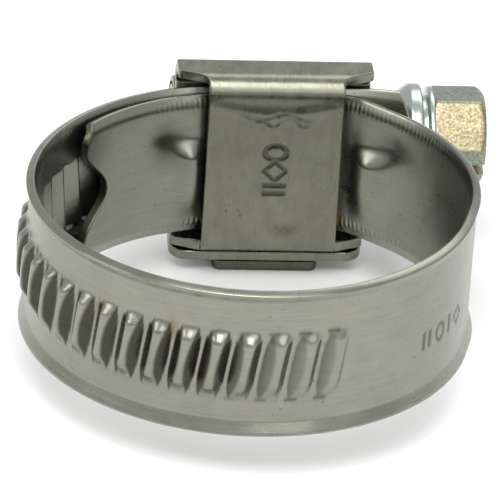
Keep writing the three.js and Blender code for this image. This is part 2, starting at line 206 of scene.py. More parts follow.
def belt_round(discs, first_arc, last_arc):
    """The line of a belt that runs clockwise round discs (x, y, radius): an arc on each disc,
    and the outer tangent from each to the next. Returns its pieces as
    (s at its start, length, disc or None, start point, heading)."""
    headings = []
    for (x0, y0, r0), (x1, y1, r1) in zip(discs, discs[1:]):
        gap = math.hypot(x1 - x0, y1 - y0)
        headings.append(math.atan2(y1 - y0, x1 - x0)
                        - math.asin(max(-1, min(1, (r0 - r1) / gap))))
    headings = ([headings[0] + first_arc / discs[0][2]] + headings
                + [headings[-1] - last_arc / discs[-1][2]])

    def rim(disc, heading):
        return np.array([disc[0] - disc[2] * math.sin(heading),
                         disc[1] + disc[2] * math.cos(heading)])

    pieces, s = [], 0.0
    for i, disc in enumerate(discs):
        turn = (headings[i] - headings[i + 1]) % (2 * math.pi)
        pieces.append((s, turn * disc[2], disc, None, headings[i]))
        s += turn * disc[2]
        if i + 1 < len(discs):
            start = rim(disc, headings[i + 1])
            length = float(np.hypot(*(rim(discs[i + 1], headings[i + 1]) - start)))
            pieces.append((s, length, None, start, headings[i + 1]))
            s += length
    return pieces


def corner_inset(radius):
    """How far inside the plate's edge the band starts to bend, so that it clears the edge."""
    inner = radius - BAND_SHEET / 2
    return math.sqrt(inner ** 2 - (inner - PLATE_CLEARANCE / 2) ** 2)


TONGUE_GAP = 0.72               # between the tongue and the band behind it
LEFT_BEND = 2.0
RIGHT_BEND = 3.0
MOUTH_RADIUS = 6.0
SHOULDER = 1.7, 1.05, BAND_MIDDLE - 1.35    # the tighter curve at the upper right
TAIL_START = 0.9                # past the plate's right edge
MOUTH_SPAN = BAND_MIDDLE - MOUTH_RADIUS
MOUTH_ANGLE = math.pi - math.asin((FREE_Y - MOUTH_RADIUS) / MOUTH_SPAN)
COURSE = belt_round([
    (0, 0, BAND_MIDDLE - BAND_SHEET - TONGUE_GAP),
    (SEAT_X - PLATE_LENGTH / 2 + corner_inset(LEFT_BEND), FIXED_Y - LEFT_BEND, LEFT_BEND),
    (SEAT_X + PLATE_LENGTH / 2 - corner_inset(RIGHT_BEND), FIXED_Y - RIGHT_BEND, RIGHT_BEND),
    SHOULDER,
    (0, 0, BAND_MIDDLE),
    (MOUTH_SPAN * math.cos(MOUTH_ANGLE), MOUTH_SPAN * math.sin(MOUTH_ANGLE), MOUTH_RADIUS),
    (SEAT_X + PLATE_LENGTH / 2 + TAIL_START, FREE_Y - TAIL_RADIUS, TAIL_RADIUS),
], TONGUE_LENGTH, TAIL_LENGTH)
LEFT_CORNER, RIGHT_CORNER, LOOP_ARC, MOUTH_ARC, TAIL_ARC = (
    COURSE[i] for i in (2, 4, 8, 10, 12))
BAND_LENGTH = TAIL_ARC[0] + TAIL_ARC[1]
FREE_RUN = MOUTH_ARC[0] + MOUTH_ARC[1]
FREE_RUN_X = float(COURSE[11][3][0])
FIRST_TOOTH = FREE_RUN + (CAP_LEFT + SHEET + WORM_END_GAP - FREE_RUN_X) + PITCH / 2
THREAD_FROM = LOOP_ARC[0] + BAND_MIDDLE * math.radians(56)
THREAD_TO = TAIL_ARC[0] - PITCH / 2


def course_at(s):
    """Points and headings of the band's mid-plane at distances s: each distance is looked up in
    its piece, and is a turn about the disc's middle or a step along the tangent."""
    x, y, heading = (np.zeros_like(s) for _ in range(3))
    for start, length, disc, point, entry in COURSE:
        here = (s >= start) if length > 0 else np.zeros_like(s, bool)
        along = s[here] - start
        if disc:
            turned = entry - along / disc[2]
            x[here] = disc[0] - disc[2] * np.sin(turned)
            y[here] = disc[1] + disc[2] * np.cos(turned)
            heading[here] = turned
        else:
            x[here] = point[0] + along * math.cos(entry)
            y[here] = point[1] + along * math.sin(entry)
            heading[here] = entry
    return x, y, heading


def nearest_s(point):
    """The distance along the band whose mid-plane point is nearest to a pivot."""
    s = np.linspace(0, BAND_LENGTH, 20001)
    x, y, _ = course_at(s)
    far = np.hypot(x - point[0], y - point[1])
    return float(s[np.argmin(far)])


# ---- Meshes ----

def make_mesh(name, points, faces, uv, marks=None):
    """A smooth-shaded mesh object from millimetre points and lists of face corners, turned
    inside out if its signed volume is below zero. Edges sharper than 40 degrees stay crisp."""
    points = np.asarray(points, float)
    fans = [(f[:, 0], f[:, i], f[:, i + 1]) for f in faces for i in range(1, f.shape[1] - 1)]
    volume = sum(np.einsum("ij,ij->", points[a], np.cross(points[b], points[c]))
                 for a, b, c in fans)
    if volume < 0:
        faces = [f[:, ::-1] for f in faces]
    corners = np.concatenate([f.ravel() for f in faces]).astype(np.int32)
    sizes = np.concatenate([np.full(len(f), f.shape[1]) for f in faces]).astype(np.int32)
    mesh = bpy.data.meshes.new(name)
    mesh.vertices.add(len(points))
    mesh.vertices.foreach_set("co", (points * MM).astype(np.float32).ravel())
    mesh.loops.add(len(corners))
    mesh.loops.foreach_set("vertex_index", corners)
    mesh.polygons.add(len(sizes))
    mesh.polygons.foreach_set("loop_start", np.concatenate([[0], np.cumsum(sizes)[:-1]]))
    mesh.polygons.foreach_set("use_smooth", np.ones(len(sizes), bool))
    mesh.update(calc_edges=True)
    mesh.uv_layers.new(name="sheet").data.foreach_set(
        "uv", np.asarray(uv, np.float32)[corners].ravel())
    for key, values in (marks or {}).items():
        mesh.attributes.new(key, "FLOAT", "POINT").data.foreach_set(
            "value", np.asarray(values, np.float32).ravel())
    mesh.set_sharp_from_angle(angle=math.radians(40))
    mesh.validate()
    piece = bpy.data.objects.new(name, mesh)
    bpy.context.scene.collection.objects.link(piece)
    return piece


def sheet_mesh(name, outer, inner, uv, marks=None):
    """A closed sheet from two grids of the same shape, rows by columns: each row is a loop that
    goes along the outer face and comes back along the inner one, and both ends are capped by
    strips from face to face. Marks hold a pair of grids, for the outer and the inner face."""
    rows, columns = outer.shape[:2]
    ring = np.concatenate([outer, inner[:, ::-1]], 1)
    around = 2 * columns
    index = np.arange(rows * around).reshape(rows, around)
    beside = np.roll(index, -1, 1)
    walls = np.stack([index[:-1], beside[:-1], beside[1:], index[1:]], -1).reshape(-1, 4)
    last = around - 1
    j = np.arange(columns - 1)
    caps = [index[0, np.stack([j, last - j, last - j - 1, j + 1], 1)],
            index[-1, np.stack([j + 1, last - j - 1, last - j, j], 1)]]
    both = {key: np.concatenate([v[0], v[1][:, ::-1]], 1) for key, v in (marks or {}).items()}
    return make_mesh(name, ring.reshape(-1, 3), [walls, *caps],
                     np.concatenate([uv, uv[:, ::-1]], 1).reshape(-1, 2), both)


def turned_mesh(name, grid, uv):
    """A closed solid from a grid of rings, rows by columns: every ring is closed, and each end
    is a fan to the middle of its ring."""
    rows, columns = grid.shape[:2]
    index = np.arange(rows * columns).reshape(rows, columns)
    beside = np.roll(index, -1, 1)
    walls = np.stack([index[:-1], beside[:-1], beside[1:], index[1:]], -1).reshape(-1, 4)
    first, final = rows * columns, rows * columns + 1
    fans = [np.stack([beside[0], index[0], np.full(columns, first)], 1),
            np.stack([index[-1], beside[-1], np.full(columns, final)], 1)]
    points = np.concatenate([grid.reshape(-1, 3), grid[:1].mean(1), grid[-1:].mean(1)])
    flat = np.concatenate([uv.reshape(-1, 2), uv[:1, 0], uv[-1:, 0]])
    return make_mesh(name, points, [walls, *fans], flat)


def cut_away(piece, low, high, turn=0.0):
    """Takes a block from low to high, turned about the screw's axis, out of a piece."""
    corners = np.array([[x, y, z] for x in (low[0], high[0]) for y in (low[1], high[1])
                        for z in (low[2], high[2])])
    faces = np.array([[0, 1, 3, 2], [4, 6, 7, 5], [0, 4, 5, 1], [2, 3, 7, 6], [0, 2, 6, 4],
                      [1, 5, 7, 3]])
    y, z = corners[:, 1] - WORM_Y, corners[:, 2].copy()
    corners[:, 1] = WORM_Y + y * math.cos(turn) - z * math.sin(turn)
    corners[:, 2] = y * math.sin(turn) + z * math.cos(turn)
    block = make_mesh("cutting_block", corners, [faces], corners[:, :2])
    cut = piece.modifiers.new("cut", "BOOLEAN")
    cut.operation, cut.object, cut.solver = "DIFFERENCE", block, "EXACT"
    bpy.context.view_layer.update()
    shape = piece.evaluated_get(bpy.context.evaluated_depsgraph_get())
    mesh = bpy.data.meshes.new_from_object(shape)
    piece.modifiers.clear()
    piece.data = mesh
    mesh.set_sharp_from_angle(angle=math.radians(35))
    bpy.data.objects.remove(block)


# ---- Stamped marks ----

def ring_mark(u, v, size):
    """1 inside the line of an upright ring, 0 outside: the line is where the elliptical radius
    is within a fifth of the size of 1."""
    radius = np.hypot(u / size, v / (0.72 * size))
    return 1 - smooth(np.abs(radius - 0.8), 0.14, 0.3)


def bar_mark(u, v, size):
    """1 inside an upright bar, 0 outside."""
    return (1 - smooth(np.abs(u), 0.8 * size, size)) * (1 - smooth(np.abs(v), 0.12, 0.24))


def diamond_mark(u, v, size):
    """1 inside the line of a diamond, 0 outside: the line is where |u| + |v| is near its size."""
    return 1 - smooth(np.abs((np.abs(u) + np.abs(v)) / size - 0.8), 0.12, 0.28)


# ---- The band ----

def lean_over(s, z):
    """Moves points along the band so that lines across it lean as the ridges do: s less z times
    the slant, fading in before the ridges and out after them."""
    fade_in = smooth(s, THREAD_FROM - 6, THREAD_FROM - 1)
    fade_out = 1 - smooth(s, THREAD_TO, THREAD_TO + 3)
    return s - z * RIDGE_SLANT * (fade_in * fade_out)


def ridge_share(s, z):
    """Height of the ridges, and how much painted shade darkens them, both from 0 to 1. A ridge
    leans over by its slant. Its height sinks by a quarter of q = (z / half)^2, then ramps down
    at each end. A flank rises straight from a crease at its foot for seven tenths of its width,
    then rounds into the crest as a parabola. Painted shade fills a lens on each flank, from
    0.45 q^2 to 0.97 - 0.5 q of its width. The first ridges are lower and less shaded, with their
    crests off the middle, and only the long flank and its two ends get painted shade there."""
    place = (s + z * RIDGE_SLANT - FIRST_TOOTH) / PITCH
    number = np.round(place)
    centre = FIRST_TOOTH + number * PITCH
    there = (centre > THREAD_FROM) & (centre < THREAD_TO)
    count = np.clip((centre - THREAD_FROM) / PITCH, 0, 6)
    early = 1 - smooth(count, 0.5, 5)
    off = (place - number) * PITCH + CREST_SHIFT * early
    width = RIDGE_FLANK + CREST_SHIFT * early * np.sign(off)
    up = np.clip((RIDGE_TOP + width - np.abs(off)) / width, 0, 1)
    flank = np.where(up < 0.7, 1.18 * up, 1 - 1.93 * (1 - up) ** 2)

    from_middle = z - RIDGE_MIDDLE
    q = np.clip((from_middle / RIDGE_HALF) ** 2, 0, 1)
    upper, lower = RIDGE_RAMPS
    ramp = smooth(RIDGE_HALF - from_middle, 0, upper) * smooth(RIDGE_HALF + from_middle, 0, lower)
    taper = np.minimum(1 - 0.25 * q, ramp) * (0.5 + 0.5 * smooth(count, 0, 4))
    # Painted shade: a darker lens on each flank, where the groove lies in shade.
    low, high = 0.45 * q * q, 0.97 - 0.5 * q
    lens = smooth(up, low, low + 0.08) * (1 - smooth(up, high - 0.25, high))
    lens *= 1 - early * np.where(off > 0, 0.25 + 0.6 * up, 1.0)
    # Painted shade at both ends of the first ridges: a dash at the top, a hook at the bottom.
    ends = hump(np.abs(from_middle), RIDGE_HALF - 0.25, 0.18) * early * (off > -0.1)
    grime = np.maximum(lens, 0.8 * ends * smooth(up, 0, 0.15) * (1 - smooth(up, 0.75, 1)))
    return np.where(there, taper * flank, 0), np.where(there, grime, 0)


def pocket_share(s, z):
    """Depth of the pockets that the ridges leave on the inner face, from 0 to 1: saw-toothed,
    with a steep side towards the start, a floor that rises evenly from there to a narrow rib,
    and steep ends."""
    place = (s + z * RIDGE_SLANT - FIRST_TOOTH) / PITCH
    number = np.round(place)
    off = (place - number) * PITCH
    centre = FIRST_TOOTH + number * PITCH
    there = smooth(centre, THREAD_FROM, THREAD_FROM + 3 * PITCH) * (centre < THREAD_TO)
    ends = 1 - smooth(np.abs(z - RIDGE_MIDDLE), RIDGE_HALF - 0.2, RIDGE_HALF)
    floor_height = np.clip((0.96 - off) / 1.72, 0, 1) * smooth(off, -0.98, -0.76)
    return there * ends * floor_height


def web_bulge(s, z):
    """How far the web stands inwards beside the saddle plate, where the flared edges gather as
    the band turns: a swelling next to each plate edge, with a steep shoulder at its top and a
    long slope below, and a hollow above it."""
    left, right = LEFT_CORNER[0], RIGHT_CORNER[0] + RIGHT_CORNER[1]
    swell = hump(s, left - 1.3, 1.0) + hump(s, right + 1.3, 1.4)
    hollow = hump(s, left - 3.0, 1.5) + hump(s, right + 2.9, 1.5)
    shoulder = smooth(z, -5.2, -1.0) * (1 - smooth(z, 0.9, 2.5))
    return 0.8 * swell * shoulder - 0.3 * hollow * hump(z, 3.1, 1.0)


def web_painted_shade(s, z):
    """How much painted shade darkens the inner face beside the saddle plate, from 0 to 1: an oval
    above and beside each swelling, a strip against the plate, and the deep side opposite the
    tongue, where shade and dark reflections fall."""
    left, right = LEFT_CORNER[0], RIGHT_CORNER[0] + RIGHT_CORNER[1]
    ovals = (0.9 * hump(s, left - 3.2, 1.2) * hump(z, 2.2, 1.5)
             + 0.6 * hump(s, left - 0.9, 1.3) * hump(z, -3.7, 1.0)
             + 0.8 * hump(s, right - 0.2, 0.8) * hump(z, 2.4, 1.2)
             + 0.6 * hump(s, right + 3.4, 1.8) * hump(z, 3.0, 1.0))
    strips = (0.6 * hump(s, left - 0.1, 0.5) + 0.5 * hump(s, right - 1.2, 0.5)
              + 0.55 * hump(s, right + 14, 7))
    return np.clip(ovals + strips, 0, 0.8)


def oil_stain(s, z):
    """Brown oil left by the press: a drop in the corner beside the plate and a few in the
    creases between ridges."""
    drop = hump(s, RIGHT_CORNER[0] + 1.0, 0.35) * hump(z, -4.9, 0.6)
    creases = sum(hump(s, THREAD_FROM + far * PITCH, 0.3) * hump(z, high, 0.7)
                  for far, high in ((5.6, 2.2), (4.5, -1.2), (8.4, 1.8)))
    return np.clip(drop + 0.7 * creases, 0, 1)


def band_marks(s, z):
    """The stamped marks on the plain part: ring, bar, diamond and bar in a row."""
    row = -0.9
    start = LOOP_ARC[0] + 2.6
    shapes = [(diamond_mark, 0.0), (bar_mark, 1.5), (ring_mark, 2.9), (bar_mark, 4.3),
              (bar_mark, 5.0)]
    total = np.zeros_like(s)
    for shape, offset in shapes:
        total = np.maximum(total, shape(z - row, s - start - offset, 0.85))
    return total


def rim_ticks(s, z):
    """Small press marks on the inner face along both bend lines, five to a pitch."""
    wave = 0.5 - 0.5 * np.cos(10 * math.pi * s / PITCH)
    fade = smooth(s, 6.5, 8) * (1 - smooth(s, FREE_RUN - 6, FREE_RUN - 3))
    upper, lower = hump(z, WEB_HALF, 0.18), hump(z, LOWER_FLARE_EXTRA - WEB_HALF, 0.18)
    return wave ** 2 * (0.8 * upper - 1.5 * lower) * fade


def flare(s):
    """Slope of the flared edges: full in the housing and in the threaded part, less where the
    band is plain."""
    plain = smooth(s, RIGHT_CORNER[0] + 6, RIGHT_CORNER[0] + 9) * (
        1 - smooth(s, THREAD_FROM - 8, THREAD_FROM + 2))
    return FLARE_ANGLE + (PLAIN_FLARE_ANGLE - FLARE_ANGLE) * plain


def tongue_cut(z):
    """Where the tongue's wave-shaped end stands: a notch 2.6 cos^2(pi z / 8) in the middle, and
    shoulders that step back by 1 mm at the edges."""
    notch = 2.6 * np.cos(np.clip(z / 4.0, -1, 1) * math.pi / 2) ** 2
    return notch + 1.0 * smooth(np.abs(z), 4.3, 6.3)


def tail_cut(z):
    """How far short of the band's length its round end stays:
    2.7 (1 - (1 - (|z| / 6.6)^2.4)^0.6)."""
    return 2.7 * (1 - (1 - np.clip(np.abs(z) / 6.6, 0, 1) ** 2.4) ** 0.6)


def band_piece(name, start, stop):
    """One stretch of the band from s = start to stop. Across, the mid-plane is a flat web, an
    arc of the bend radius and a straight flared edge. Both faces stand half a sheet from it,
    with round edges, and ridges, pockets, bulges, ticks and marks move them along the normal.
    Along, the section follows the course."""
    row_step = PITCH / 25
    rows = 1 + math.ceil((stop - start) / row_step)
    s = np.linspace(start, stop, rows)
    down_row = np.zeros(rows)
    turned = np.linspace(math.pi / 2, 0, EDGE_ROWS)
    if start == 0:
        s = np.concatenate([EDGE_ROUND * (1 - np.sin(turned)), s[2:]])
        down_row = np.concatenate([EDGE_ROUND * (1 - np.cos(turned)), down_row[2:]])
    if stop == BAND_LENGTH:
        s = np.concatenate([s[:-2], BAND_LENGTH - EDGE_ROUND * (1 - np.sin(turned[::-1]))])
        down_row = np.concatenate([down_row[:-2], EDGE_ROUND * (1 - np.cos(turned[::-1]))])
    across, down = rounded_steps(WEB_HALF + FLARE_LENGTH, 0.175)
    s, t = np.meshgrid(s, across, indexing="ij")
    half = BAND_SHEET / 2 - np.maximum(down[None], down_row[:, None])

    angle = flare(s)
    bend_from = (WEB_HALF - BEND_RADIUS * math.tan(FLARE_ANGLE / 2)
                 - LOWER_FLARE_EXTRA * (t < 0))
    past = np.clip(np.abs(t) - bend_from, 0, None)
    lean = np.minimum(past / BEND_RADIUS, angle)
    straight = np.clip(past - BEND_RADIUS * angle, 0, None)
    middle_n = BEND_RADIUS * (1 - np.cos(lean)) + straight * np.sin(angle)
    middle_z = np.sign(t) * (np.minimum(np.abs(t), bend_from) + BEND_RADIUS * np.sin(lean)
                             + straight * np.cos(angle))

    s = lean_over(s, middle_z)
    reach = 4.0
    # Painted shade along the tongue's cut end, on both faces.
    tongue_end_shade = 0.8 * (1 - smooth(s, 0.1, 0.25))
    if start == 0:
        s = np.where(s < reach, tongue_cut(middle_z) + s * (1 - tongue_cut(middle_z) / reach), s)
    if stop == BAND_LENGTH:
        left = BAND_LENGTH - s
        cut = tail_cut(middle_z)
        s = np.where(left < reach, BAND_LENGTH - cut - left * (1 - cut / reach), s)

    bulge = web_bulge(s, middle_z)
    marks = band_marks(s, middle_z)
    ridges, grime = ridge_share(s, middle_z)
    grime = np.maximum(grime, tongue_end_shade)
    # Painted shade on the inner face beside the plate and in the deep side, and at the tongue's
    # end.
    inner_painted_shade = np.maximum(web_painted_shade(s, middle_z), tongue_end_shade)
    oil = oil_stain(s, middle_z)
    x, y, heading = course_at(s)
    faces = []
    for side, lift in ((1, RIDGE_HEIGHT * ridges - 0.06 * marks),
                       (-1, POCKET_DEPTH * pocket_share(s, middle_z)
                        + 0.06 * rim_ticks(s, middle_z))):
        n = middle_n + side * half * np.cos(lean) + lift - bulge
        z = middle_z - side * half * np.sin(lean) * np.sign(t)
        faces.append(np.stack([x - n * np.sin(heading), y + n * np.cos(heading), z], -1))
    uv = np.stack([s, t], -1) / 10
    clean = np.zeros_like(marks)
    # The second attribute is painted shade: ridge flanks outside, beside the plate inside, and the
    # tongue's end on both faces.
    piece = sheet_mesh(name, faces[0], faces[1], uv, {
        "stamped": (marks, clean), "grime": (grime, inner_painted_shade), "oil": (oil, oil)})
    piece.data.materials.append(cold_rolled_stainless())
    return piece


def point_at(s):
    """The band's mid-plane point at s, in metres."""
    x, y, _ = course_at(np.array([s]))
    return (float(x[0]) * MM, float(y[0]) * MM, 0.0)


def band():
    """Seven pieces, cut half-way between two pivots so that each pivot's bend lies in one."""
    tongue, saddle, right, front, left, tail = (nearest_s(pivot(j)) for j in (
        "tongue_bend", "shoulder_bend", "right_bend", "front_bend", "left_bend", "tail_bend"))
    mouth = FIRST_TOOTH + PITCH / 2
    cuts = [0, (tongue + saddle) / 2, (saddle + right) / 2, (right + front) / 2,
            (front + left) / 2, (left + mouth) / 2, mouth, BAND_LENGTH]
    bends = [
        ("tongue", "root", "tongue", tongue + 0.4, tongue - 2.6, ["band_tongue"]),
        ("right_shoulder", "root", "right_side", saddle - 1, saddle + 5,
         ["band_fixed_end", "band_right"]),
        ("front_right", "right_side", "front_right", right - 5, right + 5, ["band_front_right"]),
        ("front_left", "front_right", "front_left", front - 5, front + 5, ["band_front_left"]),
        ("left", "front_left", "left_side", left - 5, left + 5, ["band_left"]),
        ("mouth", "left_side", None, 0, 0, []),
        ("free_end", "free_end", "tail", tail - 1, tail + 1.4, ["band_free_end", "band_tail"]),
    ]
    for i, (part, first, second, bend_from, bend_to, nodes) in enumerate(bends):
        piece = band_piece("band_strip_" + part, cuts[i], cuts[i + 1])
        if second:
            point_at(bend_from)
            point_at(bend_to)
            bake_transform(piece)
        else:
            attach(piece, first)
        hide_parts(*nodes)


# ---- Housing ----

def folded_sheet(name, corners, half_width, step, faces=None):
    """A sheet folded along X: its section is a bent line in Y and Z, its half width across X is
    a function of the distance along that line and of the points, and all its edges are
    rounded. faces gives the movement of both faces, towards the left of the line's heading."""
    line, turn, along = bent_line(corners, step)
    total = along[-1]
    arc = np.linspace(math.pi / 2, 0, EDGE_ROWS)
    lead = EDGE_ROUND * (1 - np.sin(arc))
    keep = (along > EDGE_ROUND) & (along < total - EDGE_ROUND)
    places = np.concatenate([lead, along[keep], (total - lead)[::-1]])
    line = np.stack([np.interp(places, along, line[:, 0]),
                     np.interp(places, along, line[:, 1])], 1)
    turn = np.interp(places, along, turn)
    down_row = np.zeros(len(places))
    down_row[:EDGE_ROWS] = EDGE_ROUND * (1 - np.cos(arc))
    down_row[-EDGE_ROWS:] = down_row[:EDGE_ROWS][::-1]

    wide = half_width(places, total, line)
    widest = float(wide.max())
    across, down = rounded_steps(widest, step)
    flat = widest - EDGE_ROUND
    body = np.clip(across, -flat, flat) * ((wide - EDGE_ROUND) / flat)[:, None]
    x = body + (across - np.clip(across, -flat, flat))
    half = SHEET / 2 - np.maximum(down[None], down_row[:, None])
    y, z = (np.broadcast_to(line[:, k:k + 1], x.shape) for k in (0, 1))
    lift, marks = faces(x, y, z) if faces else (0.0, np.zeros_like(x))
    grids = []
    for side in (1, -1):
        off = side * half + lift
        grids.append(np.stack([SEAT_X + x, y - off * np.sin(turn)[:, None],
                               z + off * np.cos(turn)[:, None]], -1))
    uv = np.stack([x, np.broadcast_to(places[:, None], x.shape)], -1) / 10
    piece = sheet_mesh(name, grids[0], grids[1], uv, {"stamped": (marks, marks)})
    return piece


def rounded_end(places, total, radius):
    """How much a sheet's half width shrinks within a quarter circle of its far end."""
    left = np.clip(radius - (total - places), 0, radius)
    return radius - np.sqrt(radius ** 2 - left ** 2)


def saddle():
    """The strap: hem, top wall, plate, bottom wall. It is narrow across the plate and turns wide
    along an S-curve just past each bend. The plate carries stamped marks and a scuffed patch."""
    plate_y = SEAT_Y + SHEET / 2
    hem_top = WALL_Z - 1.3
    corners = [
        (HEM_Y, hem_top - 1.1, 0), (HEM_Y, hem_top, 0.5), (FLANGE_Y - 0.4, WALL_Z, 0.6),
        (plate_y, WALL_Z, 1.1), (plate_y, -WALL_Z, 1.1),
        (FLANGE_Y - SHEET / 2 - SEAM_GAP, -WALL_Z, 0),
    ]

    def width(places, total, line):
        wide = smooth(line[:, 0], plate_y + 0.45, plate_y + 1.75)
        return PLATE_LENGTH / 2 + (WING_HALF - PLATE_LENGTH / 2) * wide - rounded_end(
            places, total, 0.7) - rounded_end(total - places, total, 0.7)

    def faces(x, y, z):
        on_plate = (np.abs(y - plate_y) < 0.05) & (np.abs(z) < WALL_Z - 1.1)
        shapes = [(ring_mark, 1.6), (diamond_mark, 0.0), (bar_mark, -1.25), (bar_mark, -1.95)]
        marks = np.zeros_like(x)
        for shape, height in shapes:
            marks = np.maximum(marks, shape(x - 0.15, z - height, 1.05))
        wavy = hump(z, 4.6 + 0.28 * np.sin(1.7 * x + 0.5), 0.2)
        wavy = wavy * (1 - smooth(np.abs(x), 2.2, 3.0))
        curl = hump(z, 4.2 + 0.3 * np.sin(2.6 * x - 1), 0.15)
        curl = curl * (1 - smooth(np.abs(x - 0.4), 1.8, 2.4))
        broken = 0.75 + 0.25 * np.sin(5.0 * x + 2.0 * np.sin(3.1 * x))
        mottled = 0.8 + 0.2 * np.sin(9 * x) * np.sin(8 * z)
        blot = hump(z, -5.2, 0.5) * hump(x, 1.2, 1.0) * mottled
        notched = 0.5 + 0.5 * np.sin(14 * z)
        nicks = hump(x + 0.35 * z, -3.7, 0.12) * hump(z, -3.8, 0.45) * notched
        worn = np.maximum.reduce([wavy * broken, 0.8 * curl * broken, 0.9 * blot, nicks])
        marks = np.where(on_plate, np.maximum(marks, 0.9 * worn), 0)
        swell = 0.1 * hump(z, WALL_Z - 2.45 + 0.03 * x ** 2, 0.5) * np.cos(x / 4.2)
        return 0.07 * marks + np.where(on_plate, -swell, 0), marks

    strap = folded_sheet("saddle_plate", corners, width, 0.12, faces)
    strap.data.materials.append(pressed_stainless())
    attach(strap, "root")
    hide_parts("saddle_strap")

    hook = folded_sheet("saddle_lock_tab", [
        (plate_y + 2, -WALL_Z, 0), (HEM_Y, -WALL_Z, 0.7), (HEM_Y, -TAB_Z, 0.7),
        (SEAT_Y + 1.6, -TAB_Z, 0),
    ], lambda places, total, line: TAB_WIDTH / 2 - rounded_end(places, total, 0.7), 0.15,
        # Painted shade: the whole tab is marked 0.9, so it renders dark as if in shade.
        lambda x, y, z: (0.0, 0.9 + 0 * x))
    hook.data.materials.append(pressed_stainless())
    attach(hook, "root")


def cap():
    """The dome over the worm with flat flanges and the bottom wall, whose corners are round, and
    two end plates: rings about the screw, open downwards."""
    corners = [
        (FLANGE_Y, WALL_Z - 1.5, 0), (FLANGE_Y, DOME_RADIUS, 0.5),
        (WORM_Y + DOME_RADIUS, DOME_RADIUS, DOME_RADIUS * 0.999),
        (WORM_Y + DOME_RADIUS, -DOME_RADIUS, DOME_RADIUS * 0.999),
        (FLANGE_Y, -DOME_RADIUS, 0.5), (FLANGE_Y, -CAP_WALL_Z, 0.8), (SEAT_Y + 1.3, -CAP_WALL_Z, 0),
    ]
    shell = folded_sheet("cap_dome", corners, lambda places, total, line: WING_HALF
                         - rounded_end(places, total, 1.5), 0.15)
    slot_half = TAB_WIDTH / 2 + 0.3
    cut_away(shell, (SEAT_X - slot_half, FLANGE_Y - SHEET, -WALL_Z - SHEET / 2 - SEAM_GAP),
             (SEAT_X + slot_half, FLANGE_Y + SHEET, -WALL_Z + SHEET / 2 + 0.3))
    shell.data.materials.clear()
    shell.data.materials.append(pressed_stainless())
    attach(shell, "root")
    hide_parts("housing_cap")
    for name, x in (("cap_end_left", CAP_LEFT), ("cap_end_right", CAP_RIGHT - SHEET)):
        ring = end_plate(name, x)
        ring.data.materials.append(pressed_stainless())
        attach(ring, "root")


def end_plate(name, x_from):
    """A flat ring about the screw from the hole to the dome, over 230 degrees. Each row is a
    rounded rectangle in radius and X."""
    inner, outer = NECK_RADIUS + 0.3, DOME_RADIUS + 0.1
    across, down = rounded_steps((outer - inner) / 2, 0.2)
    angle = np.radians(np.linspace(-115, 115, 90))[:, None]
    radius = (inner + outer) / 2 + across[None]
    grids = []
    for side in (1, -1):
        x = x_from + SHEET / 2 + side * (SHEET / 2 - down[None]) + 0 * angle
        grids.append(np.stack([x, WORM_Y + radius * np.cos(angle), radius * np.sin(angle)], -1))
    uv = np.stack([radius + 0 * angle, 3 * angle + 0 * radius], -1) / 10
    piece = sheet_mesh(name, grids[0], grids[1], uv)
    return piece


# ---- Screw ----

def worm_and_collar():
    """A solid turned about the screw's axis: a neck, the worm, a long neck, the coned collar, a
    groove and the flange. Between its ends the worm's radius follows a trapezoid of the phase
    angle / 2 pi - x / pitch, so that it climbs one pitch a turn."""
    worm_from, worm_to = CAP_LEFT + SHEET + WORM_END_GAP, CAP_RIGHT - SHEET - WORM_END_GAP
    tip = CAP_LEFT - 0.3
    collar = CAP_RIGHT + COLLAR_STAND_OFF
    cone, groove, flange, end = collar - 1.2, collar + 0.95, collar + 1.45, collar + 1.9
    groove_radius, flange_radius = WORM_RADIUS - 0.3, 3.85
    outline, _, _ = bent_line([
        (tip, 0.0, 0), (tip, NECK_RADIUS, 0.3), (cone, NECK_RADIUS, 0.2),
        (cone, WORM_RADIUS - 0.2, 0.15), (collar, COLLAR_RADIUS, 0.25),
        (groove, COLLAR_RADIUS, 0.22), (groove, groove_radius, 0.1),
        (flange, groove_radius, 0.1), (flange, flange_radius, 0.15),
        (end, flange_radius, 0.12), (end, NECK_RADIUS, 0),
    ], 0.085)
    x, radius = outline[1:, :1], outline[1:, 1:]
    angle = np.linspace(0, 2 * math.pi, 97)[None, :-1]
    phase = (angle - math.pi - 2 * math.pi * (x - worm_from) / PITCH) / (2 * math.pi)
    away = np.abs(phase - np.round(phase))
    height = 1 - smooth(away, 0.1, 0.21)
    worm = WORM_ROOT + (WORM_RADIUS - WORM_ROOT) * height
    inside = smooth(x, worm_from - 0.05, worm_from + 0.12) * (
        1 - smooth(x, worm_to - 0.12, worm_to + 0.05))
    radius = radius + (worm - radius) * inside
    grid = np.stack([x + 0 * angle, WORM_Y + radius * np.cos(angle), radius * np.sin(angle)], -1)
    uv = np.stack([x + 0 * angle, 3 * angle + 0 * x], -1) / 10
    piece = turned_mesh("screw_worm", grid, uv)
    piece.data.materials.append(bright_zinc())
    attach(piece, "screw")
    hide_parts("worm_screw")


def flat_angle(number):
    """The direction of a flat's normal, turned from +Y towards +Z."""
    return number * math.pi / 3 - HEAD_TURN


